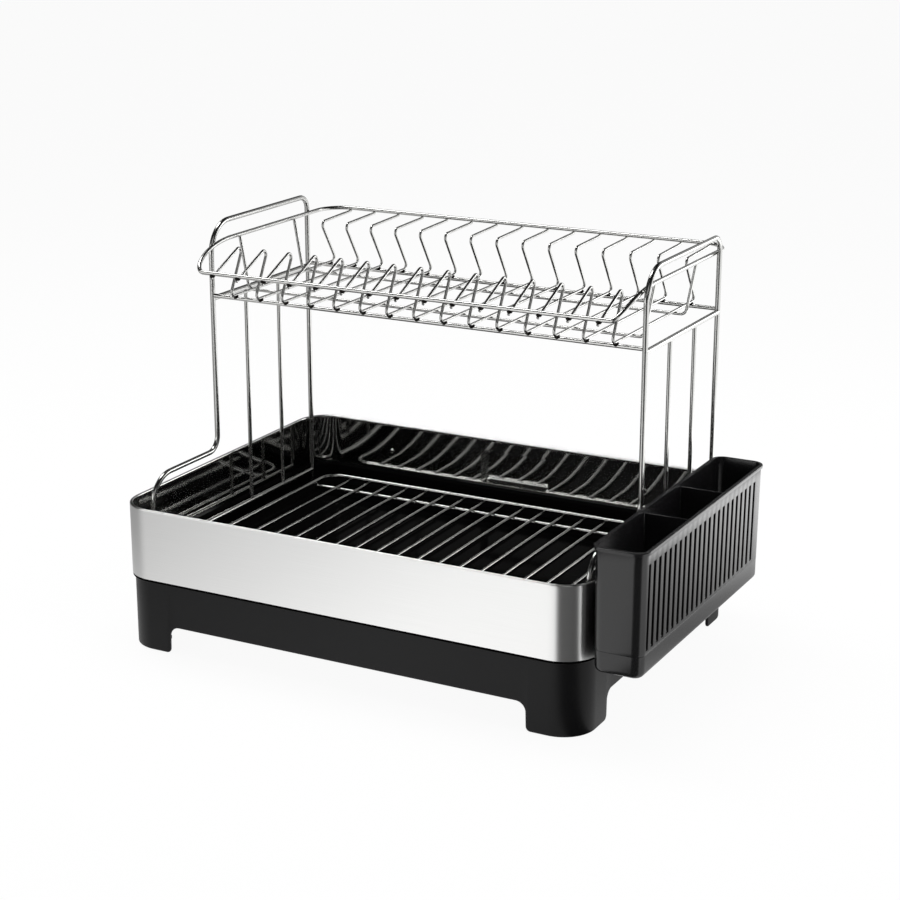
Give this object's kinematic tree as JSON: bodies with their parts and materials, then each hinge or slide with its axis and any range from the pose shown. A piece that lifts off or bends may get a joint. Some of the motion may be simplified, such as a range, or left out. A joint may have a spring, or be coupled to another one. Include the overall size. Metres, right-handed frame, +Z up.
{
  "type": "two-tier dish drainer",
  "caption": "Dish drainer with a steel-banded drip tub, lift-out lower rack, upper plate tier on bent wire end frames and a clip-on cutlery caddy.",
  "frame": {"origin": "on the table under the middle of the whole drainer's box, caddy included", "axes": "+X to the caddy's side, +Y to the back, where the plate tier overhangs, +Z up"},
  "size_m": [0.5314, 0.3685, 0.3835],
  "materials": {
    "black_plastic": "satin",
    "brushed_steel": "brushed",
    "rivet_steel": "polished",
    "wire_steel": "polished",
    "pad_rubber": "matte"
  },
  "bodies": {
    "tub": {"base_tray": "black_plastic", "steel_band": "brushed_steel", "band_rivets": "rivet_steel", "foot_pads": "pad_rubber"},
    "upper_tier": {"left_hoop": "wire_steel", "left_crossbar": "wire_steel", "left_floor_bar": "wire_steel", "left_front_post": "wire_steel", "left_back_post": "wire_steel", "right_hoop": "wire_steel", "right_crossbar": "wire_steel", "right_floor_bar": "wire_steel", "right_front_post": "wire_steel", "right_back_post": "wire_steel", "basket_rim": "wire_steel", "front_rail": "wire_steel", "back_rail": "wire_steel", "front_long_wire": "wire_steel", "back_long_wire": "wire_steel", "plate_wire_01": "wire_steel", "plate_wire_02": "wire_steel", "plate_wire_03": "wire_steel", "plate_wire_04": "wire_steel", "plate_wire_05": "wire_steel", "plate_wire_06": "wire_steel", "plate_wire_07": "wire_steel", "plate_wire_08": "wire_steel", "plate_wire_09": "wire_steel", "plate_wire_10": "wire_steel", "plate_wire_11": "wire_steel", "plate_wire_12": "wire_steel", "plate_wire_13": "wire_steel", "plate_wire_14": "wire_steel", "plate_wire_15": "wire_steel"},
    "lower_rack": {"rack_frame": "wire_steel", "rack_front_cross_wire": "wire_steel", "rack_back_cross_wire": "wire_steel", "rack_floor_wire_01": "wire_steel", "rack_floor_wire_02": "wire_steel", "rack_floor_wire_03": "wire_steel", "rack_floor_wire_04": "wire_steel", "rack_floor_wire_05": "wire_steel", "rack_floor_wire_06": "wire_steel", "rack_floor_wire_07": "wire_steel", "rack_floor_wire_08": "wire_steel", "rack_floor_wire_09": "wire_steel", "rack_floor_wire_10": "wire_steel", "rack_floor_wire_11": "wire_steel", "rack_floor_wire_12": "wire_steel", "rack_floor_wire_13": "wire_steel", "rack_floor_wire_14": "wire_steel", "rack_floor_wire_15": "wire_steel", "rack_floor_wire_16": "wire_steel", "rack_floor_wire_17": "wire_steel"},
    "caddy": {"caddy_body": "black_plastic"},
    "drip_cup": {"caddy_drip_cup": "black_plastic"}
  },
  "joints": [
    {"name": "upper_tier_lift", "type": "slide", "parent": "tub", "child": "upper_tier", "axis": [0, 0, 1], "range_m": [0, 0.1]},
    {"name": "lower_rack_lift", "type": "slide", "parent": "tub", "child": "lower_rack", "axis": [0, 0, 1], "range_m": [0, 0.08]},
    {"name": "caddy_lift", "type": "slide", "parent": "tub", "child": "caddy", "axis": [0, 0, 1], "range_m": [0, 0.06]},
    {"name": "drip_cup_pull", "type": "slide", "parent": "caddy", "child": "drip_cup", "axis": [0, 0, -1], "range_m": [0, 0.04]}
  ]
}
